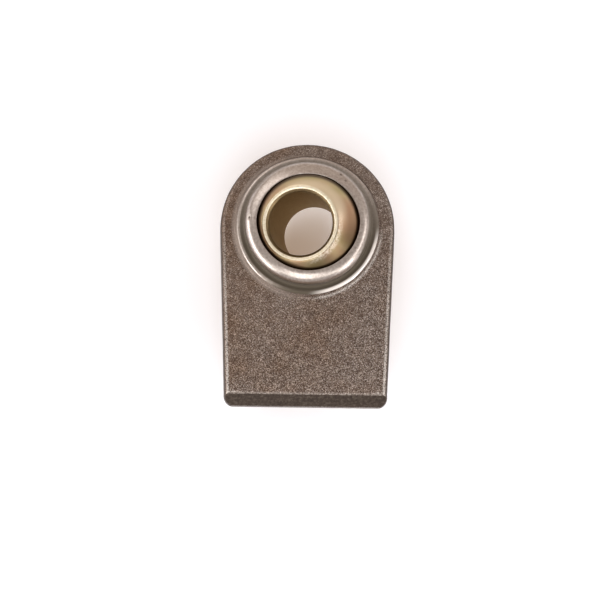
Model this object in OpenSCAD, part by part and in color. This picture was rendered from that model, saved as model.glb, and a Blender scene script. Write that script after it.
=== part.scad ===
// Weld-on rod end: a forged steel eye with a turned ball swaged into it.
// Origin at the centre of the ball. +Y points from the weld end to the eye, +Z out of the shown face.

/* [Ball] */
// Diameter of the ball
ball_d = 44; // [43:0.5:52]
// Width of the ball between its two flat faces
ball_w = 35; // [28:0.5:36]
// Diameter of the pin bore through the ball
bore_d = 22.4; // [16:0.1:24]
// Chamfer at both mouths of the bore
bore_chamfer = 1.1; // [0.3:0.1:1.5]
// How far the bore leans away from square to the body
ball_lean = 12; // [0:1:20]
// Heading of that lean, counted from +X towards +Y
lean_heading = 216; // [0:1:359]

/* [Body] */
// Width across the eye at the parting line
eye_w = 63.5; // [60:0.5:76]
// Width of the weld end at the parting line
end_w = 57.5; // [44:0.5:60]
// Distance from the ball's centre to the weld face
reach = 64.25; // [50:0.25:100]
// Thickness of the flat body
body_t = 11; // [9:0.5:14]
// Draft of the forged sides, both ways from the parting line
side_draft = 7; // [3:0.5:10]
// Rounding along the edges of both faces
edge_r = 1.8; // [0.5:0.1:2.5]
// Rounding of each face's two corners at the weld end
corner_r = 1.7; // [0.5:0.1:6]

/* [Weld end] */
// Length of the weld bevels, measured along the body
bevel_len = 4.1; // [2:0.1:6]
// Thickness of the flat land between the two bevels
land_t = 4; // [2:0.5:6]

/* [Socket] */
// Running clearance between the ball and its socket, measured on the radius
socket_clearance = 0.1; // [0.05:0.01:0.3]
// How far up the ball the pressed lip reaches, in degrees above the ball's equator
lip_wrap = 35; // [28:0.5:38]
// Height of the straight mouth inside the lip
mouth_wall = 1.2; // [0.4:0.1:1.6]
// How far the lip's crest stands back from its mouth
crest_setback = 0.3; // [0.1:0.05:1]
// Section radius of the lip's rounded outside
bead_r = 3.9; // [2.5:0.1:4.5]
// Width of the pressed groove, from the foot of the lip out to the boss's rim
groove_w = 2.65; // [2:0.05:4]
// How far the groove's floor falls from the boss's rim in to the foot of the lip
groove_depth = 0.5; // [0.1:0.05:0.9]
// Height of the boss's rim above the face of the body
boss_rise = 2.4; // [1.5:0.1:3]
// Draft of the boss's outer wall
boss_draft = 30; // [10:1:40]

/* [Hidden] */
$fn = 128;
// Flat steps in the rounding of a forged edge
edge_steps = 5;
// Small overlap that makes an arc cross the wall it runs into, where it would only touch
overlap = 0.01;
// Least thickness that cutting the weld face square takes off the forging
end_trim = 0.1;
// Spare length on anything that cuts right through
spare = 1;

half_t = body_t / 2;
ball_r = ball_d / 2;
bore_r = bore_d / 2;
socket_r = ball_r + socket_clearance;

// From the parting line in to where the flat face begins
edge_inset = (half_t - edge_r) * tan(side_draft) + edge_r / cos(side_draft);
// How far the forging runs past the weld face, so that the land is cut flat right across
end_stock = land_t / 2 * tan(side_draft) + end_trim;

mouth_r = socket_r * cos(lip_wrap);
mouth_h = socket_r * sin(lip_wrap) + mouth_wall;
bead_at_r = mouth_r + crest_setback;
bead_at_h = mouth_h - sqrt(bead_r * bead_r - crest_setback * crest_setback);
crest_h = bead_at_h + bead_r;
neck_r = bead_at_r + bead_r - overlap;

rim_h = half_t + boss_rise;
rim_r = neck_r + groove_w;
boss_root_r = rim_r + rim_h * tan(boss_draft);

// Points along a circle's arc, from one angle to another
function arc(at_x, at_y, r, from, to, steps) = [
    for (i = [0 : steps])
        let (a = from + (to - from) * i / steps)
        [at_x + r * cos(a), at_y + r * sin(a)]
];

// Disc with drafted, round-edged sides, widest at the parting line. Its faces are flat out to flat_r.
module drafted_disc(flat_r) {
    edge_h = half_t - edge_r;
    upper = arc(flat_r, edge_h, edge_r, side_draft, 90, edge_steps);
    lower = arc(flat_r, -edge_h, edge_r, -90, -side_draft, edge_steps);
    rotate_extrude()
        polygon(concat([[0, half_t], [0, -half_t]], lower, [[flat_r + edge_inset, 0]], upper));
}

// Flat forging: the round eye narrowing to the weld end
module blank() {
    corner_at = corner_r + edge_inset;
    hull() {
        drafted_disc(eye_w / 2 - edge_inset);
        for (side = [-1, 1])
            translate([side * (end_w / 2 - corner_at), corner_at - reach - end_stock, 0])
                drafted_disc(corner_r);
    }
}

// Upper half of the boss's section: drafted wall, rim, pressed groove and rounded lip
module lip_section() {
    polygon([
        [0, 0],
        [boss_root_r, 0],
        [rim_r, rim_h],
        [neck_r, rim_h - groove_depth],
        [neck_r, bead_at_h],
        [0, bead_at_h]
    ]);
    translate([bead_at_r, bead_at_h])
        circle(r = bead_r);
}

// Raised boss with the lip that is pressed over the ball, on both faces
module lips() {
    for (face = [0, 1])
        mirror([0, 0, face])
            rotate_extrude()
                lip_section();
}

// What is cut off the end: the stock past the weld face, and a bevel on each face
module end_cut() {
    past = end_stock + spare;
    bevel_h = half_t - land_t / 2;
    bevel_run = (bevel_h + spare) * bevel_len / bevel_h;
    translate([-end_w / 2 - spare, -reach - past, -half_t - spare])
        cube([end_w + 2 * spare, past, body_t + 2 * spare]);
    for (face = [0, 1])
        mirror([0, 0, face])
            rotate([90, 0, 90])
                linear_extrude(height = end_w + 2 * spare, center = true)
                    polygon([
                        [-reach, land_t / 2],
                        [-reach + bevel_run, half_t + spare],
                        [-reach - past, half_t + spare],
                        [-reach - past, land_t / 2]
                    ]);
}

module forged_body() {
    color("dimgray")
        difference() {
            union() {
                blank();
                lips();
            }
            sphere(r = socket_r);
            cylinder(h = 2 * (crest_h + spare), r = mouth_r, center = true);
            end_cut();
        }
}

// Cone that chamfers the bore's mouth on the +Z side of the ball
module mouth_chamfer() {
    translate([0, 0, ball_w / 2 - bore_chamfer])
        cylinder(h = bore_chamfer + spare, r1 = bore_r, r2 = bore_r + bore_chamfer + spare);
}

module swivel_ball() {
    color("darkkhaki")
        rotate([0, ball_lean, lean_heading])
            difference() {
                intersection() {
                    sphere(r = ball_r);
                    cylinder(h = ball_w, r = ball_d, center = true);
                }
                cylinder(h = ball_w + 2 * spare, r = bore_r, center = true);
                mouth_chamfer();
                mirror([0, 0, 1])
                    mouth_chamfer();
            }
}

forged_body();
swivel_ball();
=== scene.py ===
"""Weld-on rod end: a forged steel eye with a plated ball that swivels in it.

Everything is in metres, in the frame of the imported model: the origin is the centre of the ball,
+Y points from the weld end to the eye and +Z out of the shown face. Sizes are written in millimetres.
"""

from math import acos, atan2, cos, hypot, pi, radians, sin, sqrt, tan

import bmesh
import bpy
from mathutils import Matrix, Vector, noise


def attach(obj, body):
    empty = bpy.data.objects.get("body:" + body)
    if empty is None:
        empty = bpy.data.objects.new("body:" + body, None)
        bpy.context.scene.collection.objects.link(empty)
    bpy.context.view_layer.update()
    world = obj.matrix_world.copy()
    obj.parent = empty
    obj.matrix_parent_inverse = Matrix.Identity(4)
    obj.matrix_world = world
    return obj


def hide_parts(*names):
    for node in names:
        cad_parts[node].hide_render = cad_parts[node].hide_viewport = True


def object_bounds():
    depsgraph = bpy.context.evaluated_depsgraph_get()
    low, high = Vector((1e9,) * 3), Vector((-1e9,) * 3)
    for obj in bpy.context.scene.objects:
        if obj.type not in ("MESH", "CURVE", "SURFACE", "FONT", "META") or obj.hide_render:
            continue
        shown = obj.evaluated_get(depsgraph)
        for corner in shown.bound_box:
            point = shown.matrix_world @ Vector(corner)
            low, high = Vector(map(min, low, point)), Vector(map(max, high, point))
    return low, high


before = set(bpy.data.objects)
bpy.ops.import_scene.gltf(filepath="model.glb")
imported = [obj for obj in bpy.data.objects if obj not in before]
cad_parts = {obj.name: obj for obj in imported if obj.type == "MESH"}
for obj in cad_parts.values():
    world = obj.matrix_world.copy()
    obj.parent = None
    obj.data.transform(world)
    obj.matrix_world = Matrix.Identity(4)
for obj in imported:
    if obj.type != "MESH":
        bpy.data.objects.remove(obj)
cad_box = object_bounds()

MM = 0.001

# Ball
BALL_R = 22.0
BALL_HALF_W = 17.5
BORE_R = 11.2
BORE_CHAMFER = 1.1
BORE_ROUND = 0.2
RIM_EDGE_ROUND = 0.42
BALL_LEAN = 12
LEAN_HEADING = 216
LEAN = Matrix.Rotation(radians(LEAN_HEADING), 4, "Z") @ Matrix.Rotation(radians(BALL_LEAN), 4, "Y")
BORE_AXIS = LEAN @ Vector((0, 0, 1))

# Forged body
EYE_R = 31.75
END_HALF_W = 28.75
REACH = 64.25
HALF_T = 5.5
SIDE_DRAFT = radians(7)
EDGE_R = 1.8
CORNER_R = 1.7
BEVEL_LEN = 4.1
LAND_HALF_T = 2.0
END_TRIM = 0.1
EDGE_BREAK = 0.09

# Lip that is pressed over the ball
SOCKET_R = 22.1
LIP_WRAP = radians(35)
MOUTH_WALL = 1.2
CREST_SETBACK = 0.3
BEAD_R = 3.9
GROOVE_W = 2.65
GROOVE_DEPTH = 0.5
BOSS_RISE = 2.4
BOSS_DRAFT = radians(30)
MOUTH_ROUND = 0.4
NECK_ROUND = 1.2
RIM_ROUND = 0.9
FOOT_ROUND = 1.0

# How much further the lip is closed and raised on its far side, and how far out from its crest
LIP_CLOSE = 1.5
LIP_LIFT = 0.85
CLOSE_REACH = 1.6

# Slow and small waves in the forged skin: length and height of each, and how far both are sunk
SLOW_WAVE, SLOW_HEIGHT = 12, 0.06
SMALL_WAVE, SMALL_HEIGHT = 2.6, 0.04
WAVE_SINK = 0.05

# Pits in the lip: angle from +X, distance from the axis, radius and depth
PITS = [(178, 20.6, 0.55, 0.2), (56, 20.4, 0.6, 0.25), (48, 19.6, 0.5, 0.2)]

AROUND = 288


def mm(*values):
    """A point given in millimetres."""
    return Vector(values) * MM


def draw_line(bm, last, to, steps=1):
    """Extend a drawn line from its last point in equal steps, and return the new last point."""
    step = (to - last.co) / steps
    for _ in range(steps):
        start = last.co.copy()
        last = bmesh.ops.extrude_vert_indiv(bm, verts=[last])["verts"][0]
        last.co = start + step
    return last


def draw_arc(bm, last, centre, axis, angle, steps):
    """Swing a drawn line's last point round a centre, and return the new last point."""
    made = bmesh.ops.spin(bm, geom=[last], cent=centre, axis=axis, angle=angle, steps=steps)
    return [v for v in made["geom_last"] if isinstance(v, bmesh.types.BMVert)][0]


def revolve(bm, steps):
    """Spin everything drawn so far once round Z."""
    section = bm.verts[:] + bm.edges[:]
    bmesh.ops.spin(
        bm, geom=section, cent=(0, 0, 0), axis=(0, 0, 1), angle=2 * pi, steps=steps, use_merge=True
    )
    bmesh.ops.remove_doubles(bm, verts=bm.verts, dist=0.001 * MM)


def round_edges(bm, edges, radius, segments):
    """Round the given edges, and return the new faces."""
    made = bmesh.ops.bevel(
        bm,
        geom=edges,
        offset=radius * MM,
        offset_type="OFFSET",
        segments=segments,
        profile=0.5,
        affect="EDGES",
        material=-1,
        clamp_overlap=True,
    )
    return made["faces"]


def sharp_edges(bm, angle, wanted=lambda edge: True):
    """Edges where two faces meet at more than an angle in degrees."""
    return [
        e for e in bm.edges if e.is_manifold and e.calc_face_angle(0) > radians(angle) and wanted(e)
    ]


def middle(edge):
    """Midpoint of an edge, in millimetres."""
    return (edge.verts[0].co + edge.verts[1].co) / (2 * MM)


def make_piece(bm, name, node, body, materials):
    """Turn a finished bmesh into the piece that stands for a CAD node."""
    bmesh.ops.recalc_face_normals(bm, faces=bm.faces)
    for face in bm.faces:
        face.smooth = True
    for edge in sharp_edges(bm, 35):
        edge.smooth = False
    mesh = bpy.data.meshes.new(name)
    bm.to_mesh(mesh)
    bm.free()
    for material in materials:
        mesh.materials.append(material)
    piece = bpy.data.objects.new(name, mesh)
    bpy.context.scene.collection.objects.link(piece)
    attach(piece, body)
    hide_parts(node)
    return piece


# Materials


def linear(hex_colour):
    """Linear RGBA of an sRGB hex colour."""
    parts = [int(hex_colour[i : i + 2], 16) / 255 for i in (1, 3, 5)]
    return [c / 12.92 if c <= 0.04045 else ((c + 0.055) / 1.055) ** 2.4 for c in parts] + [1]


def add(tree, kind, inputs=None, stops=(), **settings):
    """Add a node with its settings and links. Stops are a ramp's places, each with a hex colour."""
    node = tree.nodes.new(kind)
    for name, value in settings.items():
        setattr(node, name, value)
    for i, (place, hex_colour) in enumerate(stops):
        if i == len(node.color_ramp.elements):
            node.color_ramp.elements.new(place)
        node.color_ramp.elements[i].position = place
        node.color_ramp.elements[i].color = linear(hex_colour)
    for name, value in (inputs or {}).items():
        if isinstance(value, bpy.types.NodeSocket):
            tree.links.new(value, node.inputs[name])
        else:
            node.inputs[name].default_value = value
    return node


def new_material(name):
    """An empty material, its node tree and the Object coordinates that its patterns read."""
    material = bpy.data.materials.new(name)
    material.use_nodes = True
    tree = material.node_tree
    tree.nodes.clear()
    where = add(tree, "ShaderNodeTexCoord").outputs["Object"]
    return material, tree, where


def per_mm(size):
    """Texture scale that gives a pattern features of about this size in millimetres."""
    return 1 / (size * MM)


def forged_skin():
    """Shot-blasted forging: a brown-grey skin of fine dents, where single facets catch the light.

    Real dents are 0.1 to 0.2 mm wide, too fine to show, so the grain is drawn at 0.24 mm. The flanks'
    edges are lightened by rubbed wear and a painted highlight, and the steep sides below them carry
    painted shade. The boss's wall carries a painted highlight on its left, and bright specks along
    its foot at the lower right are scuffs with a painted highlight.
    """
    material, tree, where = new_material("shot_blasted_forged_steel")
    grain = add(
        tree,
        "ShaderNodeTexNoise",
        {"Vector": where, "Scale": per_mm(0.24), "Detail": 1, "Roughness": 0.6},
    )
    cells = add(tree, "ShaderNodeTexVoronoi", {"Vector": where, "Scale": per_mm(0.24)})
    cell_tone = add(tree, "ShaderNodeSeparateColor", {"Color": cells.outputs["Color"]})
    grain_and_cells = add(
        tree,
        "ShaderNodeMix",
        {"Factor": 0.5, "A": grain.outputs["Fac"], "B": cell_tone.outputs["Red"]},
    )
    tone = add(
        tree,
        "ShaderNodeValToRGB",
        {"Fac": grain_and_cells.outputs["Result"]},
        stops=[(0.22, "#41362e"), (0.48, "#7a6c64"), (0.64, "#a2958c"), (0.8, "#efe7e2")],
    )
    mottle = add(
        tree,
        "ShaderNodeTexNoise",
        {"Vector": where, "Scale": per_mm(3), "Detail": 3, "Roughness": 0.65},
    )
    mottle_tone = add(
        tree,
        "ShaderNodeValToRGB",
        {"Fac": mottle.outputs["Fac"]},
        stops=[(0.3, "#cfc9c5"), (0.52, "#e6e2df"), (0.72, "#ffffff")],
    )
    towards_far_side = add(
        tree, "ShaderNodeVectorMath", {0: where, 1: (-0.45, 0.9, 0)}, operation="DOT_PRODUCT"
    )
    calm = add(
        tree,
        "ShaderNodeMapRange",
        {
            "Value": towards_far_side.outputs["Value"],
            "From Min": -48 * MM,
            "From Max": 20 * MM,
            "To Max": 0.35,
        },
    )
    calmed = add(
        tree,
        "ShaderNodeMix",
        {"Factor": calm.outputs["Result"], "A": tone.outputs["Color"], "B": linear("#95877d")},
        data_type="RGBA",
    )
    mottled = add(
        tree,
        "ShaderNodeMix",
        {"Factor": 1.0, "A": calmed.outputs["Result"], "B": mottle_tone.outputs["Color"]},
        data_type="RGBA",
        blend_type="MULTIPLY",
    )
    blotch = add(
        tree,
        "ShaderNodeTexNoise",
        {"Vector": where, "Scale": per_mm(12), "Detail": 4, "Roughness": 0.6},
    )
    along = add(tree, "ShaderNodeSeparateXYZ", {"Vector": where})
    to_left = add(
        tree,
        "ShaderNodeMapRange",
        {
            "Value": along.outputs["X"],
            "From Min": 28 * MM,
            "From Max": -28 * MM,
            "To Min": -0.1,
            "To Max": 0.14,
        },
    )
    browner_left = add(
        tree,
        "ShaderNodeMath",
        {0: blotch.outputs["Fac"], 1: to_left.outputs["Result"]},
        operation="ADD",
    )
    warm = add(
        tree,
        "ShaderNodeValToRGB",
        {"Fac": browner_left.outputs[0]},
        stops=[(0.36, "#ffffff"), (0.74, "#ecddcf")],
    )
    colour = add(
        tree,
        "ShaderNodeMix",
        {"Factor": 1.0, "A": mottled.outputs["Result"], "B": warm.outputs["Color"]},
        data_type="RGBA",
        blend_type="MULTIPLY",
    )
    lean = add(tree, "ShaderNodeAttribute", attribute_name="lean")
    # Painted shade: the steep sides, found by how far they lean, are darkened.
    side_shade = add(
        tree,
        "ShaderNodeMapRange",
        {"Value": lean.outputs["Fac"], "From Min": 0.14, "From Max": 0.36, "To Max": 0.85},
    )
    with_side_shade = add(
        tree,
        "ShaderNodeMix",
        {"Factor": side_shade.outputs["Result"], "A": colour.outputs["Result"], "B": linear("#40362f")},
        data_type="RGBA",
    )
    # The flanks' edges are lightened: partly rubbed wear, partly a painted highlight.
    edge = add(
        tree,
        "ShaderNodeValToRGB",
        {"Fac": lean.outputs["Fac"]},
        stops=[(0.001, "#000000"), (0.01, "#ffffff"), (0.07, "#ffffff"), (0.2, "#000000")],
    )
    flank = add(
        tree,
        "ShaderNodeMapRange",
        {"Value": along.outputs["Y"], "From Min": 20 * MM, "From Max": -55 * MM},
    )
    patches = add(
        tree,
        "ShaderNodeMapRange",
        {"Value": grain_and_cells.outputs["Result"], "From Min": 0.3, "From Max": 0.55},
    )
    across = add(tree, "ShaderNodeMath", {0: along.outputs["X"]}, operation="ABSOLUTE")
    outer = add(
        tree,
        "ShaderNodeMapRange",
        {"Value": across.outputs[0], "From Min": 23 * MM, "From Max": 27 * MM, "To Min": 0.25},
    )
    flank_wear_and_light = add(
        tree,
        "ShaderNodeMath",
        {0: flank.outputs["Result"], 1: outer.outputs["Result"]},
        operation="MULTIPLY",
    )
    flank_edge = add(
        tree,
        "ShaderNodeMath",
        {0: edge.outputs["Color"], 1: flank_wear_and_light.outputs[0]},
        operation="MULTIPLY",
    )
    rubbed = add(
        tree,
        "ShaderNodeMath",
        {0: flank_edge.outputs[0], 1: patches.outputs["Result"]},
        operation="MULTIPLY",
    )
    worn_and_lit = add(
        tree,
        "ShaderNodeMix",
        {"Factor": rubbed.outputs[0], "A": with_side_shade.outputs["Result"], "B": linear("#d3cbc4")},
        data_type="RGBA",
    )
    flat = add(tree, "ShaderNodeVectorMath", {0: where, 1: (1, 1, 0)}, operation="MULTIPLY")
    radius = add(tree, "ShaderNodeVectorMath", {0: flat.outputs[0]}, operation="LENGTH")
    # Painted highlight: the boss's wall is lightened on its left.
    wall = add(
        tree,
        "ShaderNodeMapRange",
        {
            "Value": radius.outputs["Value"],
            "From Min": (FOOT_R + 1.4) * MM,
            "From Max": (FOOT_R + 0.2) * MM,
        },
        interpolation_type="SMOOTHSTEP",
    )
    left = add(
        tree,
        "ShaderNodeMapRange",
        {"Value": along.outputs["X"], "From Min": 4 * MM, "From Max": -16 * MM, "To Max": 0.55},
        interpolation_type="SMOOTHSTEP",
    )
    lit_left_wall = add(
        tree,
        "ShaderNodeMath",
        {0: wall.outputs["Result"], 1: left.outputs["Result"]},
        operation="MULTIPLY",
    )
    finish = add(
        tree,
        "ShaderNodeMix",
        {"Factor": lit_left_wall.outputs[0], "A": worn_and_lit.outputs["Result"], "B": linear("#a89c93")},
        data_type="RGBA",
    )
    # Bright specks along the boss's foot at the lower right: scuffs, and a painted highlight.
    past_foot = add(
        tree,
        "ShaderNodeMapRange",
        {
            "Value": radius.outputs["Value"],
            "From Min": (FOOT_R - 0.7) * MM,
            "From Max": (FOOT_R + 0.9) * MM,
        },
    )
    foot_line = add(
        tree,
        "ShaderNodeValToRGB",
        {"Fac": past_foot.outputs["Result"]},
        stops=[(0.05, "#000000"), (0.4, "#ffffff"), (0.6, "#ffffff"), (0.95, "#000000")],
    )
    towards_corner = add(
        tree, "ShaderNodeVectorMath", {0: where, 1: (0.71, -0.71, 0)}, operation="DOT_PRODUCT"
    )
    near_corner = add(
        tree,
        "ShaderNodeMapRange",
        {
            "Value": towards_corner.outputs["Value"],
            "From Min": 18 * MM,
            "From Max": 24 * MM,
            "To Max": 0.8,
        },
        interpolation_type="SMOOTHSTEP",
    )
    foot_here = add(
        tree,
        "ShaderNodeMath",
        {0: foot_line.outputs["Color"], 1: near_corner.outputs["Result"]},
        operation="MULTIPLY",
    )
    specks = add(
        tree,
        "ShaderNodeMath",
        {0: foot_here.outputs[0], 1: patches.outputs["Result"]},
        operation="MULTIPLY",
    )
    speckled = add(
        tree,
        "ShaderNodeMix",
        {"Factor": specks.outputs[0], "A": finish.outputs["Result"], "B": linear("#ddd6d0")},
        data_type="RGBA",
    )
    bump = add(
        tree,
        "ShaderNodeBump",
        {"Strength": 0.6, "Distance": 0.12 * MM, "Height": grain_and_cells.outputs["Result"]},
    )
    steel = add(
        tree,
        "ShaderNodeBsdfPrincipled",
        {
            "Base Color": speckled.outputs["Result"],
            "Metallic": 0.85,
            "Roughness": 0.5,
            "Normal": bump.outputs["Normal"],
        },
    )
    add(tree, "ShaderNodeOutputMaterial", {"Surface": steel.outputs["BSDF"]})
    return material


def burnished_ring():
    """Steel that the pressing tool rubbed smooth: bright, with faint scuffs and a few dark pits.

    A dull, darker film of scale and oil lies in the groove, and its darkening is also painted shade:
    it starts further in on the right and far side and reaches over the boss's rim below and at the
    sides.
    A highlight is painted on the rim at the lower right.
    """
    material, tree, where = new_material("burnished_steel")
    scuff = add(
        tree,
        "ShaderNodeTexNoise",
        {"Vector": where, "Scale": per_mm(0.9), "Detail": 4, "Roughness": 0.65},
    )
    tone = add(
        tree,
        "ShaderNodeValToRGB",
        {"Fac": scuff.outputs["Fac"]},
        stops=[(0.3, "#a3968d"), (0.55, "#bcb1a9"), (0.75, "#cbc3bb")],
    )
    flat = add(tree, "ShaderNodeVectorMath", {0: where, 1: (1, 1, 0)}, operation="MULTIPLY")
    radius = add(tree, "ShaderNodeVectorMath", {0: flat.outputs[0]}, operation="LENGTH")
    place = add(tree, "ShaderNodeSeparateXYZ", {"Vector": where})
    # The film is oil and scale in the groove and also painted shade: it starts further in on the
    # right and far side.
    right_climb = add(
        tree,
        "ShaderNodeMapRange",
        {
            "Value": place.outputs["X"],
            "From Min": 12 * MM,
            "From Max": 21 * MM,
            "To Max": 1.0 * MM,
        },
        interpolation_type="SMOOTHSTEP",
    )
    far_climb = add(
        tree,
        "ShaderNodeMapRange",
        {
            "Value": place.outputs["Y"],
            "From Min": 2 * MM,
            "From Max": 13 * MM,
            "To Max": 1.0 * MM,
        },
        interpolation_type="SMOOTHSTEP",
    )
    climb = add(
        tree,
        "ShaderNodeMath",
        {0: right_climb.outputs["Result"], 1: far_climb.outputs["Result"]},
        operation="MAXIMUM",
    )
    start_at = add(
        tree,
        "ShaderNodeMath",
        {0: radius.outputs["Value"], 1: climb.outputs[0]},
        operation="ADD",
    )
    film = add(
        tree,
        "ShaderNodeMapRange",
        {
            "Value": start_at.outputs[0],
            "From Min": (NECK_R - 1.2) * MM,
            "From Max": (NECK_R + 0.3) * MM,
        },
        interpolation_type="SMOOTHSTEP",
    )
    over_rim = add(
        tree,
        "ShaderNodeMapRange",
        {"Value": place.outputs["Y"], "From Min": -17 * MM, "From Max": -25 * MM},
        interpolation_type="SMOOTHSTEP",
    )
    below_rim = add(
        tree,
        "ShaderNodeMapRange",
        {
            "Value": radius.outputs["Value"],
            "From Min": (RIM_R - 1.1) * MM,
            "From Max": (RIM_R - 0.1) * MM,
            "To Min": 1,
            "To Max": 0,
        },
        interpolation_type="SMOOTHSTEP",
    )
    across = add(
        tree,
        "ShaderNodeMapRange",
        {"Value": place.outputs["X"], "From Min": -RIM_R * MM, "From Max": RIM_R * MM},
    )
    beside = add(
        tree,
        "ShaderNodeValToRGB",
        {"Fac": across.outputs["Result"]},
        stops=[(0.0, "#aaaaaa"), (0.08, "#000000"), (0.9, "#000000"), (0.97, "#ffffff")],
    )
    rim_film_and_shade = add(
        tree,
        "ShaderNodeMath",
        {0: over_rim.outputs["Result"], 1: beside.outputs["Color"]},
        operation="MAXIMUM",
    )
    film_shade_end = add(
        tree,
        "ShaderNodeMath",
        {0: rim_film_and_shade.outputs[0], 1: below_rim.outputs["Result"]},
        operation="MAXIMUM",
    )
    lower = add(
        tree,
        "ShaderNodeMapRange",
        {
            "Value": place.outputs["Y"],
            "From Min": 18 * MM,
            "From Max": -8 * MM,
            "To Min": 0.5,
            "To Max": 1,
        },
    )
    from_face = add(tree, "ShaderNodeMath", {0: place.outputs["Z"]}, operation="ABSOLUTE")
    height = add(
        tree,
        "ShaderNodeMath",
        {0: climb.outputs[0], 1: -3.5, 2: from_face.outputs[0]},
        operation="MULTIPLY_ADD",
    )
    in_groove = add(
        tree,
        "ShaderNodeMapRange",
        {
            "Value": height.outputs[0],
            "From Min": (GROOVE_H + 2.6) * MM,
            "From Max": (GROOVE_H + 1.0) * MM,
        },
        interpolation_type="SMOOTHSTEP",
    )
    film_shade_start = add(
        tree,
        "ShaderNodeMath",
        {0: film.outputs["Result"], 1: in_groove.outputs["Result"]},
        operation="MULTIPLY",
    )
    film_shade_band = add(
        tree,
        "ShaderNodeMath",
        {0: film_shade_start.outputs[0], 1: film_shade_end.outputs[0]},
        operation="MULTIPLY",
    )
    film_and_shade = add(
        tree,
        "ShaderNodeMath",
        {0: film_shade_band.outputs[0], 1: lower.outputs["Result"]},
        operation="MULTIPLY",
    )
    # Darker colour of the film: oil film and painted shade.
    colour = add(
        tree,
        "ShaderNodeMix",
        {"Factor": film_and_shade.outputs[0], "A": tone.outputs["Color"], "B": linear("#6d6458")},
        data_type="RGBA",
    )
    # Painted highlight along the boss's rim at the lower right.
    towards_corner = add(
        tree, "ShaderNodeVectorMath", {0: where, 1: (0.71, -0.71, 0)}, operation="DOT_PRODUCT"
    )
    near_corner = add(
        tree,
        "ShaderNodeMapRange",
        {
            "Value": towards_corner.outputs["Value"],
            "From Min": 17.5 * MM,
            "From Max": 22.5 * MM,
            "To Max": 0.9,
        },
        interpolation_type="SMOOTHSTEP",
    )
    on_rim = add(
        tree,
        "ShaderNodeMapRange",
        {
            "Value": radius.outputs["Value"],
            "From Min": (RIM_R - 1.0) * MM,
            "From Max": (RIM_R - 0.4) * MM,
        },
        interpolation_type="SMOOTHSTEP",
    )
    rim_highlight = add(
        tree,
        "ShaderNodeMath",
        {0: near_corner.outputs["Result"], 1: on_rim.outputs["Result"]},
        operation="MULTIPLY",
    )
    with_rim_highlight = add(
        tree,
        "ShaderNodeMix",
        {"Factor": rim_highlight.outputs[0], "A": colour.outputs["Result"], "B": linear("#efe9e4")},
        data_type="RGBA",
    )
    pit = add(tree, "ShaderNodeAttribute", attribute_name="pit")
    pitted = add(
        tree,
        "ShaderNodeMix",
        {"Factor": pit.outputs["Fac"], "A": with_rim_highlight.outputs["Result"], "B": linear("#5e534c")},
        data_type="RGBA",
    )
    rough = add(
        tree,
        "ShaderNodeMapRange",
        {"Value": film_and_shade.outputs[0], "To Min": 0.31, "To Max": 0.78},
    )
    bump = add(
        tree,
        "ShaderNodeBump",
        {"Strength": 0.3, "Distance": 0.05 * MM, "Height": scuff.outputs["Fac"]},
    )
    steel = add(
        tree,
        "ShaderNodeBsdfPrincipled",
        {
            "Base Color": pitted.outputs["Result"],
            "Metallic": 1.0,
            "Roughness": rough.outputs["Result"],
            "Normal": bump.outputs["Normal"],
        },
    )
    add(tree, "ShaderNodeOutputMaterial", {"Surface": steel.outputs["BSDF"]})
    return material


def cut_steel():
    """Weld preparation: a smoother, darker cut surface with a light tooth."""
    material, tree, where = new_material("trimmed_forged_steel")
    tooth = add(
        tree,
        "ShaderNodeTexNoise",
        {"Vector": where, "Scale": per_mm(1.1), "Detail": 4, "Roughness": 0.7},
    )
    tone = add(
        tree,
        "ShaderNodeValToRGB",
        {"Fac": tooth.outputs["Fac"]},
        stops=[(0.3, "#2f2722"), (0.52, "#433932"), (0.75, "#5e544c")],
    )
    bump = add(
        tree,
        "ShaderNodeBump",
        {"Strength": 0.35, "Distance": 0.06 * MM, "Height": tooth.outputs["Fac"]},
    )
    steel = add(
        tree,
        "ShaderNodeBsdfPrincipled",
        {
            "Base Color": tone.outputs["Color"],
            "Metallic": 0.85,
            "Roughness": 0.45,
            "Normal": bump.outputs["Normal"],
        },
    )
    add(tree, "ShaderNodeOutputMaterial", {"Surface": steel.outputs["BSDF"]})
    return material


def shaded_socket():
    """Inside of the socket and its mouth: steel painted a dark brown as shade, so the gap looks deep.
    """
    material, tree, where = new_material("shaded_socket_steel")
    shade_mottle = add(
        tree,
        "ShaderNodeTexNoise",
        {"Vector": where, "Scale": per_mm(2.5), "Detail": 3, "Roughness": 0.6},
    )
    tone = add(
        tree,
        "ShaderNodeValToRGB",
        {"Fac": shade_mottle.outputs["Fac"]},
        stops=[(0.3, "#5a4531"), (0.7, "#78614c")],
    )
    steel = add(
        tree,
        "ShaderNodeBsdfPrincipled",
        {"Base Color": tone.outputs["Color"], "Metallic": 0.3, "Roughness": 0.55},
    )
    add(tree, "ShaderNodeOutputMaterial", {"Surface": steel.outputs["BSDF"]})
    return material


def worn_edge():
    """Cut end and the edges that handling has rubbed: the same steel, lighter and patchy."""
    material, tree, where = new_material("worn_forged_steel")
    patch = add(
        tree,
        "ShaderNodeTexNoise",
        {"Vector": where, "Scale": per_mm(0.6), "Detail": 2, "Roughness": 0.7},
    )
    tone = add(
        tree,
        "ShaderNodeValToRGB",
        {"Fac": patch.outputs["Fac"]},
        stops=[(0.35, "#463b35"), (0.5, "#6a5f58"), (0.65, "#938a83")],
    )
    steel = add(
        tree,
        "ShaderNodeBsdfPrincipled",
        {"Base Color": tone.outputs["Color"], "Metallic": 0.9, "Roughness": 0.5},
    )
    add(tree, "ShaderNodeOutputMaterial", {"Surface": steel.outputs["BSDF"]})
    return material


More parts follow.
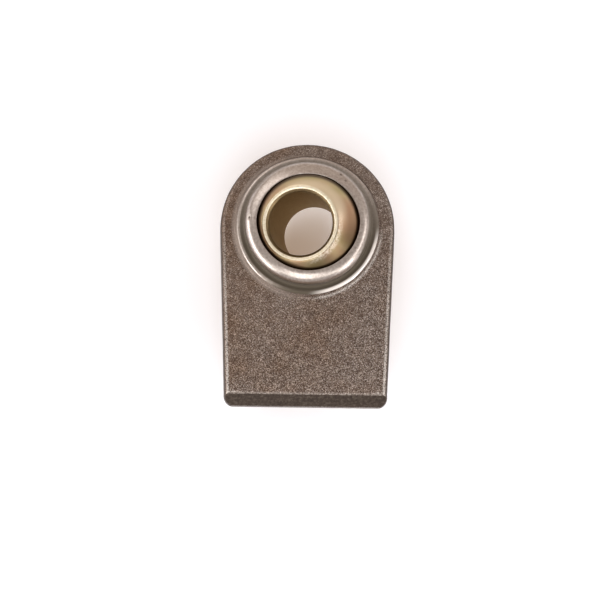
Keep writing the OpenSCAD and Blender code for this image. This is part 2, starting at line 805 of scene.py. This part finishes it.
def yellow_zinc():
    """Yellow-passivated zinc plate: pale gold that drifts to olive and to a pinkish brown.

    A highlight is painted pale on its crest, and shade is painted dark brown near the lip and on the
    side towards the shank. Beside the rim on the right it has scuffs with a painted glint.
    """
    material, tree, where = new_material("yellow_passivated_zinc")
    drift = add(
        tree,
        "ShaderNodeTexNoise",
        {"Vector": where, "Scale": per_mm(20), "Detail": 2, "Roughness": 0.5, "Distortion": 0.6},
    )
    tone = add(
        tree,
        "ShaderNodeValToRGB",
        {"Fac": drift.outputs["Fac"]},
        stops=[
            (0.3, "#ae8464"),
            (0.43, "#b59778"),
            (0.52, "#bba780"),
            (0.62, "#aa9d70"),
            (0.72, "#ae916e"),
        ],
    )
    place = add(tree, "ShaderNodeSeparateXYZ", {"Vector": where})
    from_patch = add(
        tree, "ShaderNodeVectorMath", {0: where, 1: mm(15.5, -3, 15.5)}, operation="DISTANCE"
    )
    patch = add(
        tree,
        "ShaderNodeMapRange",
        {"Value": from_patch.outputs["Value"], "From Min": 9 * MM, "From Max": 3 * MM, "To Max": 0.7},
        interpolation_type="SMOOTHSTEP",
    )
    pinker = add(
        tree,
        "ShaderNodeMix",
        {"Factor": patch.outputs["Result"], "A": tone.outputs["Color"], "B": linear("#a98266")},
        data_type="RGBA",
    )
    height = add(tree, "ShaderNodeMath", {0: place.outputs["Z"]}, operation="ABSOLUTE")
    # Painted highlight: the crest is paled on the far half.
    crest = add(
        tree,
        "ShaderNodeMapRange",
        {
            "Value": height.outputs[0],
            "From Min": 16.5 * MM,
            "From Max": 19.2 * MM,
            "To Max": 0.7,
        },
        interpolation_type="SMOOTHSTEP",
    )
    far_half = add(
        tree,
        "ShaderNodeMapRange",
        {"Value": place.outputs["Y"], "From Min": -5 * MM, "From Max": 6 * MM, "To Min": 0.1},
        interpolation_type="SMOOTHSTEP",
    )
    crest_highlight = add(
        tree,
        "ShaderNodeMath",
        {0: crest.outputs["Result"], 1: far_half.outputs["Result"]},
        operation="MULTIPLY",
    )
    with_crest_highlight = add(
        tree,
        "ShaderNodeMix",
        {"Factor": crest_highlight.outputs[0], "A": pinker.outputs["Result"], "B": linear("#f4e4c8")},
        data_type="RGBA",
    )
    # Painted shade: dark brown near the lip, reaching further on the far and left sides, and on the
    # side towards the shank.
    far_side = add(
        tree,
        "ShaderNodeMapRange",
        {"Value": place.outputs["Y"], "From Max": 16 * MM, "To Max": 2.2 * MM},
    )
    left_side = add(
        tree,
        "ShaderNodeMapRange",
        {"Value": place.outputs["X"], "From Max": -15 * MM, "To Max": 0.8 * MM},
    )
    shift = add(
        tree,
        "ShaderNodeMath",
        {0: far_side.outputs["Result"], 1: left_side.outputs["Result"]},
        operation="MAXIMUM",
    )
    above_lip = add(
        tree,
        "ShaderNodeMath",
        {0: height.outputs[0], 1: shift.outputs[0]},
        operation="SUBTRACT",
    )
    lip_shade = add(
        tree,
        "ShaderNodeMapRange",
        {
            "Value": above_lip.outputs[0],
            "From Min": 15.1 * MM,
            "From Max": 13.3 * MM,
            "To Max": 0.92,
        },
        interpolation_type="SMOOTHSTEP",
    )
    towards_shank = add(
        tree, "ShaderNodeVectorMath", {0: where, 1: (0.6, -0.8, 0)}, operation="DOT_PRODUCT"
    )
    near_side = add(
        tree,
        "ShaderNodeMapRange",
        {
            "Value": towards_shank.outputs["Value"],
            "From Min": 5 * MM,
            "From Max": 16 * MM,
            "To Max": 0.7,
        },
        interpolation_type="SMOOTHSTEP",
    )
    shaded_ball = add(
        tree,
        "ShaderNodeMath",
        {0: lip_shade.outputs["Result"], 1: near_side.outputs["Result"]},
        operation="MAXIMUM",
    )
    colour = add(
        tree,
        "ShaderNodeMix",
        {"Factor": shaded_ball.outputs[0], "A": with_crest_highlight.outputs["Result"], "B": linear("#433120")},
        data_type="RGBA",
    )
    # Scuffs beside the rim on the right, with a painted glint.
    along_bore = add(
        tree, "ShaderNodeVectorMath", {0: where, 1: BORE_AXIS}, operation="DOT_PRODUCT"
    )
    beside_rim = add(
        tree,
        "ShaderNodeMapRange",
        {
            "Value": along_bore.outputs["Value"],
            "From Min": (BALL_HALF_W - 1.8) * MM,
            "From Max": (BALL_HALF_W - 0.2) * MM,
            "To Max": 0.4,
        },
        interpolation_type="SMOOTHSTEP",
    )
    to_right = add(
        tree, "ShaderNodeVectorMath", {0: where, 1: (0.87, -0.5, 0)}, operation="DOT_PRODUCT"
    )
    right_side = add(
        tree,
        "ShaderNodeMapRange",
        {"Value": to_right.outputs["Value"], "From Min": 7 * MM, "From Max": 11 * MM},
        interpolation_type="SMOOTHSTEP",
    )
    fine = add(
        tree,
        "ShaderNodeTexNoise",
        {"Vector": where, "Scale": per_mm(0.8), "Detail": 3, "Roughness": 0.6},
    )
    specks = add(
        tree,
        "ShaderNodeMapRange",
        {"Value": fine.outputs["Fac"], "From Min": 0.35, "From Max": 0.6},
    )
    rim_here = add(
        tree,
        "ShaderNodeMath",
        {0: beside_rim.outputs["Result"], 1: right_side.outputs["Result"]},
        operation="MULTIPLY",
    )
    scuffs = add(
        tree,
        "ShaderNodeMath",
        {0: rim_here.outputs[0], 1: specks.outputs["Result"]},
        operation="MULTIPLY",
    )
    with_scuffs_and_glint = add(
        tree,
        "ShaderNodeMix",
        {"Factor": scuffs.outputs[0], "A": colour.outputs["Result"], "B": linear("#f1e7da")},
        data_type="RGBA",
    )
    bump = add(
        tree,
        "ShaderNodeBump",
        {"Strength": 0.2, "Distance": 0.03 * MM, "Height": fine.outputs["Fac"]},
    )
    zinc = add(
        tree,
        "ShaderNodeBsdfPrincipled",
        {
            "Base Color": with_scuffs_and_glint.outputs["Result"],
            "Metallic": 1.0,
            "Roughness": 0.4,
            "Normal": bump.outputs["Normal"],
        },
    )
    add(tree, "ShaderNodeOutputMaterial", {"Surface": zinc.outputs["BSDF"]})
    return material


def shaded_bore():
    """Zinc inside the bore: thin, painted a dull brown as shade, with the lathe's fine turning marks.
    """
    material, tree, where = new_material("shaded_turned_zinc")
    fine = add(
        tree,
        "ShaderNodeTexNoise",
        {"Vector": where, "Scale": per_mm(1.5), "Detail": 3, "Roughness": 0.6},
    )
    tone = add(
        tree,
        "ShaderNodeValToRGB",
        {"Fac": fine.outputs["Fac"]},
        stops=[(0.3, "#6f5d44"), (0.7, "#806d50")],
    )
    bump = add(
        tree,
        "ShaderNodeBump",
        {"Strength": 0.2, "Distance": 0.03 * MM, "Height": fine.outputs["Fac"]},
    )
    zinc = add(
        tree,
        "ShaderNodeBsdfPrincipled",
        {
            "Base Color": tone.outputs["Color"],
            "Metallic": 1.0,
            "Roughness": 0.42,
            "Specular Tint": linear("#efe0c6"),
            "Normal": bump.outputs["Normal"],
        },
    )
    add(tree, "ShaderNodeOutputMaterial", {"Surface": zinc.outputs["BSDF"]})
    return material


def rubbed_and_highlit_rim():
    """Rim of the ball, where handling rubbed the passivation thin: a pale cream, partly a painted
    highlight.
    """
    material, tree, where = new_material("rubbed_highlit_zinc")
    fine = add(
        tree,
        "ShaderNodeTexNoise",
        {"Vector": where, "Scale": per_mm(1.0), "Detail": 3, "Roughness": 0.6},
    )
    tone = add(
        tree,
        "ShaderNodeValToRGB",
        {"Fac": fine.outputs["Fac"]},
        stops=[(0.3, "#dacdb0"), (0.6, "#eee3cd"), (0.8, "#f7f0e4")],
    )
    zinc = add(
        tree,
        "ShaderNodeBsdfPrincipled",
        {"Base Color": tone.outputs["Color"], "Metallic": 1.0, "Roughness": 0.5},
    )
    add(tree, "ShaderNodeOutputMaterial", {"Surface": zinc.outputs["BSDF"]})
    return material


# Swivel ball

PLATED, BORE, RUBBED_LIT = 0, 1, 2


def swivel_ball():
    """Turned ball with two flat faces and a chamfered bore, leaning as it lies in the photo."""
    face_r = sqrt(BALL_R**2 - BALL_HALF_W**2)
    rim_angle = atan2(BALL_HALF_W, face_r)
    bm = bmesh.new()
    last = bm.verts.new(mm(face_r, 0, -BALL_HALF_W))
    last = draw_arc(bm, last, (0, 0, 0), (0, -1, 0), 2 * rim_angle, 72)
    last = draw_line(bm, last, mm(BORE_R + BORE_CHAMFER, 0, BALL_HALF_W))
    last = draw_line(bm, last, mm(BORE_R, 0, BALL_HALF_W - BORE_CHAMFER))
    last = draw_line(bm, last, mm(BORE_R, 0, BORE_CHAMFER - BALL_HALF_W))
    last = draw_line(bm, last, mm(BORE_R + BORE_CHAMFER, 0, -BALL_HALF_W))
    draw_line(bm, last, mm(face_r, 0, -BALL_HALF_W))
    revolve(bm, 192)
    bore_edges = sharp_edges(bm, 20, lambda e: middle(e).xy.length < BORE_R + 0.1)
    round_edges(bm, bore_edges, BORE_ROUND, 4)
    rim_edges = sharp_edges(bm, 20, lambda e: middle(e).xy.length > BORE_R + 0.5)
    round_edges(bm, rim_edges, RIM_EDGE_ROUND, 6)
    for face in bm.faces:
        at = face.calc_center_median() / MM
        r = hypot(at.x, at.y)
        if r < BORE_R + BORE_CHAMFER - 0.25:
            face.material_index = BORE
        elif r < face_r - 0.15 and abs(at.z) > BALL_HALF_W - 0.5:
            face.material_index = RUBBED_LIT
    bmesh.ops.transform(bm, matrix=LEAN, verts=bm.verts)
    finishes = [yellow_zinc(), shaded_bore(), rubbed_and_highlit_rim()]
    make_piece(bm, "plated_ball", "swivel_ball", "ball", finishes)


# Forged body

RING, SKIN, CUT, WORN, SOCKET = 0, 1, 2, 3, 4

MOUTH_R = SOCKET_R * cos(LIP_WRAP)
MOUTH_H = SOCKET_R * sin(LIP_WRAP) + MOUTH_WALL
BEAD_AT_R = MOUTH_R + CREST_SETBACK
BEAD_DROP = sqrt(BEAD_R**2 - CREST_SETBACK**2)
BEAD_AT_H = MOUTH_H - BEAD_DROP
NECK_R = BEAD_AT_R + BEAD_R
RIM_H = HALF_T + BOSS_RISE
GROOVE_H = RIM_H - GROOVE_DEPTH
RIM_R = NECK_R + GROOVE_W
FOOT_R = RIM_R + BOSS_RISE * tan(BOSS_DRAFT)
EDGE_INSET = (HALF_T - EDGE_R) * tan(SIDE_DRAFT) + EDGE_R / cos(SIDE_DRAFT)
END_STOCK = LAND_HALF_T * tan(SIDE_DRAFT) + END_TRIM


def draw_lip(bm):
    """Section of the socket's upper half, the rolled lip, the groove and the boss, spun round."""
    up = (0, -1, 0)
    last = bm.verts.new(mm(SOCKET_R, 0, 0))
    last = draw_arc(bm, last, (0, 0, 0), up, LIP_WRAP, 14)
    last = draw_line(bm, last, mm(MOUTH_R, 0, MOUTH_H))
    bead_turn = atan2(BEAD_DROP, -CREST_SETBACK)
    last = draw_arc(bm, last, mm(BEAD_AT_R, 0, BEAD_AT_H), up, -bead_turn, 24)
    last = draw_line(bm, last, mm(NECK_R, 0, GROOVE_H))
    last = draw_line(bm, last, mm(RIM_R, 0, RIM_H))
    draw_line(bm, last, mm(FOOT_R, 0, HALF_T))
    revolve(bm, AROUND)


def draw_outline(bm):
    """Outline of the forging at its parting line, as wire: eye, straight flanks, rounded corners."""
    corner = CORNER_R + EDGE_INSET
    end_y = -REACH - END_STOCK
    centre = Vector((END_HALF_W - corner, end_y + corner, 0))
    flank = atan2(centre.y, centre.x) + acos((EYE_R - corner) / centre.length)
    to_flank = Vector((cos(flank), sin(flank), 0))
    mirrored = Vector((-1, 1, 1))
    left = centre * mirrored
    quarter = pi / 2 + flank
    up = (0, 0, 1)
    first = bm.verts.new(to_flank * EYE_R * MM)
    last = draw_arc(bm, first, (0, 0, 0), up, pi - 2 * flank, 148)
    last = draw_line(bm, last, (left + to_flank * mirrored * corner) * MM, 46)
    last = draw_arc(bm, last, left * MM, up, quarter, 8)
    last = draw_line(bm, last, mm(centre.x, end_y, 0), 32)
    last = draw_arc(bm, last, centre * MM, up, quarter, 8)
    draw_line(bm, last, first.co.copy(), 46)
    bmesh.ops.remove_doubles(bm, verts=[v for v in bm.verts if not v.link_faces], dist=0.001 * MM)


def raise_plate(bm):
    """Raise the drafted, round-edged side from the outline, and join its flat face to the boss."""
    outline = [e for e in bm.edges if e.is_wire]
    face = bmesh.ops.contextual_create(bm, geom=outline)["faces"][0]
    face.normal_update()
    if face.normal.z < 0:
        face.normal_flip()
    side_top = HALF_T - EDGE_R + EDGE_R * sin(SIDE_DRAFT)
    levels = [(h * tan(SIDE_DRAFT), h) for h in (side_top * i / 4 for i in range(1, 5))]
    for i in range(1, 8):
        turn = SIDE_DRAFT + (pi / 2 - SIDE_DRAFT) * i / 7
        levels.append((EDGE_INSET - EDGE_R * cos(turn), HALF_T - EDGE_R + EDGE_R * sin(turn)))
    inset = height = 0
    for next_inset, next_height in levels:
        bmesh.ops.inset_region(
            bm,
            faces=[face],
            thickness=(next_inset - inset) * MM,
            depth=(next_height - height) * MM,
            use_even_offset=True,
            use_boundary=True,
        )
        inset, height = next_inset, next_height
    bmesh.ops.delete(bm, geom=[face], context="FACES_ONLY")
    level = [e for e in bm.edges if e.is_boundary and abs(middle(e).z - HALF_T) < 0.01]
    made = bmesh.ops.bridge_loops(bm, edges=level)
    bmesh.ops.subdivide_edges(bm, edges=made["edges"], cuts=24, use_grid_fill=True)


def slice_off(bm, at, outward, finish):
    """Cut away what lies past a plane, and close the cut with a face of the given finish."""
    everything = bm.verts[:] + bm.edges[:] + bm.faces[:]
    bmesh.ops.bisect_plane(
        bm, geom=everything, dist=0.0001 * MM, plane_co=at * MM, plane_no=outward, clear_outer=True
    )
    made = bmesh.ops.holes_fill(bm, edges=[e for e in bm.edges if e.is_boundary], sides=0)
    for face in made["faces"]:
        face.material_index = finish


def cut_end(bm):
    """Cut the weld face square, bevel it on both faces, and break the edges that this leaves."""
    end = Vector((0, -1, 0))
    slice_off(bm, Vector((0, -REACH, 0)), end, WORN)
    for side in (1, -1):
        face = Vector((0, 0, side))
        low = Vector((0, -REACH, side * LAND_HALF_T))
        high = Vector((0, BEVEL_LEN - REACH, side * HALF_T))
        bevel = Vector((0, LAND_HALF_T - HALF_T, side * BEVEL_LEN)).normalized()
        slice_off(bm, low, bevel, CUT)
        for edge, one, other in ((high, face, bevel), (low, bevel, end)):
            between = (one + other).normalized()
            slice_off(bm, edge - between * EDGE_BREAK, between, WORN)


def near_ring(edge, r):
    """True where an edge runs round the boss at this radius."""
    at = middle(edge)
    return abs(hypot(at.x, at.y) - r) < 0.2


def close_lip(bm):
    """The press closed the lip a little further over the ball on the side away from the shank."""
    for vert in bm.verts:
        at = vert.co / MM
        r = hypot(at.x, at.y)
        on_lip = MOUTH_R - 0.1 <= r <= BEAD_AT_R + CLOSE_REACH
        if not on_lip or abs(at.z) < SOCKET_R * sin(LIP_WRAP) - 0.3:
            continue
        far_side = max(0, at.y / r)
        near_mouth = 1 - max(0, r - BEAD_AT_R) / CLOSE_REACH
        closed = r - LIP_CLOSE * far_side * near_mouth
        clear = sqrt(max(0, SOCKET_R**2 - closed**2))
        lifted = max(clear, abs(at.z) + LIP_LIFT * far_side * near_mouth)
        vert.co.x *= closed / r
        vert.co.y *= closed / r
        vert.co.z *= lifted / abs(at.z)


def dent(bm, turn, r, size, depth):
    """Press a small pit into the shown lip, at an angle from +X and a distance from its axis."""
    place = Vector((r * cos(radians(turn)), r * sin(radians(turn))))
    pit = bm.verts.layers.float["pit"]
    for vert in bm.verts:
        away = ((vert.co / MM).xy - place).length
        if away < size and vert.co.z > RIM_H * MM * 0.9:
            vert[pit] = 1 - (away / size) ** 2
            vert.co -= vert.normal * depth * vert[pit] * MM


def weather(bm):
    """Unevenness that a forging has: slow and small waves in the skin, and pits in the lip.

    It also notes how far each point of the skin leans from the flat faces, for the edges' wear and
    painted highlight and for the sides' painted shade.
    """
    bm.normal_update()
    bm.verts.layers.float.new("pit")
    lean = bm.verts.layers.float.new("lean")
    for vert in bm.verts:
        at = vert.co / MM
        r = hypot(at.x, at.y)
        if r < FOOT_R - 1.2:
            continue
        if r > FOOT_R + 1.2:
            vert[lean] = 1 - abs(vert.normal.z)
        if at.y > BEVEL_LEN - REACH + 0.5:
            slow = SLOW_HEIGHT * noise.noise(at / SLOW_WAVE)
            small = SMALL_HEIGHT * noise.noise(at / SMALL_WAVE)
            vert.co += vert.normal * (slow + small - WAVE_SINK) * MM
    for turn, pit_r, size, depth in PITS:
        dent(bm, turn, pit_r, size, depth)


def forged_body():
    """One-piece forging with its socket, pressed lips and bevelled weld end."""
    bm = bmesh.new()
    draw_lip(bm)
    for face in bm.faces:
        centre = face.calc_center_median() / MM
        inside = centre.length < hypot(MOUTH_R, MOUTH_H) - 0.1
        face.material_index = SOCKET if inside else RING
    draw_outline(bm)
    raise_plate(bm)
    for face in bm.faces:
        centre = face.calc_center_median() / MM
        if hypot(centre.x, centre.y) > RIM_R:
            face.material_index = SKIN
    everything = bm.verts[:] + bm.edges[:] + bm.faces[:]
    bmesh.ops.mirror(bm, geom=everything, matrix=Matrix(), merge_dist=0.001 * MM, axis="Z")
    bmesh.ops.recalc_face_normals(bm, faces=bm.faces)
    cut_end(bm)
    for face in round_edges(bm, sharp_edges(bm, 24, lambda e: near_ring(e, RIM_R)), RIM_ROUND, 8):
        face.material_index = RING
    round_edges(bm, sharp_edges(bm, 24, lambda e: near_ring(e, NECK_R)), NECK_ROUND, 10)
    round_edges(bm, sharp_edges(bm, 24, lambda e: near_ring(e, FOOT_R)), FOOT_ROUND, 6)
    mouth = sharp_edges(bm, 24, lambda e: near_ring(e, MOUTH_R) and abs(middle(e).z) > MOUTH_H - 0.1)
    for face in round_edges(bm, mouth, MOUTH_ROUND, 4):
        face.material_index = RING
    close_lip(bm)
    weather(bm)
    piece = make_piece(
        bm,
        "forged_eye",
        "forged_body",
        "body",
        [burnished_ring(), forged_skin(), cut_steel(), worn_edge(), shaded_socket()],
    )
    flat = piece.modifiers.new("flat_faces", "WEIGHTED_NORMAL")
    flat.keep_sharp = True


swivel_ball()
forged_body()


# Stage


def pale_floor():
    """Matt white floor. Camera and mirror rays see it lifted to white, and it keeps the shadow."""
    material, tree, _ = new_material("matt_white_board")
    rays = add(tree, "ShaderNodeLightPath")
    seen = add(
        tree,
        "ShaderNodeMath",
        {0: rays.outputs["Is Camera Ray"], 1: rays.outputs["Is Glossy Ray"]},
        operation="MAXIMUM",
    )
    board = add(tree, "ShaderNodeBsdfDiffuse", {"Color": linear("#dfeaf6")})
    lift = add(tree, "ShaderNodeEmission", {"Color": linear("#ffd9b8"), "Strength": 0.32})
    none = add(tree, "ShaderNodeEmission", {"Strength": 0.0})
    seen_lift = add(
        tree,
        "ShaderNodeMixShader",
        {0: seen.outputs[0], 1: none.outputs["Emission"], 2: lift.outputs["Emission"]},
    )
    both = add(
        tree, "ShaderNodeAddShader", {0: board.outputs["BSDF"], 1: seen_lift.outputs["Shader"]}
    )
    add(tree, "ShaderNodeOutputMaterial", {"Surface": both.outputs["Shader"]})
    return material


bm = bmesh.new()
bmesh.ops.create_grid(bm, x_segments=1, y_segments=1, size=3)
bmesh.ops.translate(bm, vec=(0, 0, cad_box[0][2]), verts=bm.verts)
floor_mesh = bpy.data.meshes.new("floor")
bm.to_mesh(floor_mesh)
bm.free()
floor_mesh.materials.append(pale_floor())
floor = bpy.data.objects.new("floor", floor_mesh)
bpy.context.scene.collection.objects.link(floor)

world = bpy.data.worlds.new("studio")
world.use_nodes = True
sky = world.node_tree
sky.nodes.clear()
heading = add(sky, "ShaderNodeTexCoord")
towards = add(sky, "ShaderNodeSeparateXYZ", {"Vector": heading.outputs["Generated"]})
depth = add(sky, "ShaderNodeMapRange", {"Value": towards.outputs["Y"], "From Min": -1.0})
roof = add(
    sky,
    "ShaderNodeValToRGB",
    {"Fac": depth.outputs["Result"]},
    stops=[(0.0, "#8a8683"), (0.35, "#a29d9a"), (0.6, "#aca7a4"), (1.0, "#bbafa5")],
)
glow = add(sky, "ShaderNodeBackground", {"Color": roof.outputs["Color"], "Strength": 1.46})
add(sky, "ShaderNodeOutputWorld", {"Surface": glow.outputs["Background"]})
bpy.context.scene.world = world


def softbox(name, place, width, height, power):
    """Rectangular soft light that faces the part."""
    lamp = bpy.data.lights.new(name, "AREA")
    lamp.shape = "RECTANGLE"
    lamp.size = width
    lamp.size_y = height
    lamp.energy = power
    light = bpy.data.objects.new(name, lamp)
    light.location = place
    light.rotation_euler = Vector(place).to_track_quat("Z", "Y").to_euler()
    bpy.context.scene.collection.objects.link(light)


softbox("front_softbox", (-0.05, -0.61, 0.59), 0.45, 0.8, 3.3)
softbox("front_left_softbox", (-0.42, -0.5, 0.36), 0.4, 0.3, 0.5)
softbox("front_right_softbox", (0.36, -0.56, 0.4), 0.35, 0.3, 0.6)
softbox("left_softbox", (-0.9, -0.28, 0.12), 1.3, 0.3, 6.0)
softbox("right_softbox", (0.74, -0.1, 0.46), 0.8, 0.25, 1.6)
softbox("right_front_softbox", (0.68, -0.52, 0.2), 0.35, 0.25, 1.4)
softbox("back_softbox", (-0.42, 0.55, 0.62), 0.5, 0.5, 1.1)

# Camera: fitted to the photo's edges, looking at the shown face from 11.6 degrees below its normal
PITCH, YAW, ROLL = radians(11.606), radians(-0.733), radians(0.734)
TO_CAMERA = mm(2.675, 25.33, -363.36)
LENS = 60

back = Vector((sin(YAW) * cos(PITCH), -sin(PITCH), cos(YAW) * cos(PITCH))).normalized()
right = Vector((0, 1, 0)).cross(back).normalized()
turn = Matrix((right, back.cross(right), back)).transposed() @ Matrix.Rotation(ROLL, 3, "Z")
camera = bpy.data.objects.new("camera", bpy.data.cameras.new("camera"))
camera.data.lens = LENS
camera.data.sensor_width = 36
camera.data.clip_start = 0.01
camera.matrix_world = Matrix.Translation(-(turn @ TO_CAMERA)) @ turn.to_4x4()
bpy.context.scene.collection.objects.link(camera)
bpy.context.scene.camera = camera

bpy.context.scene.view_settings.view_transform = "Standard"
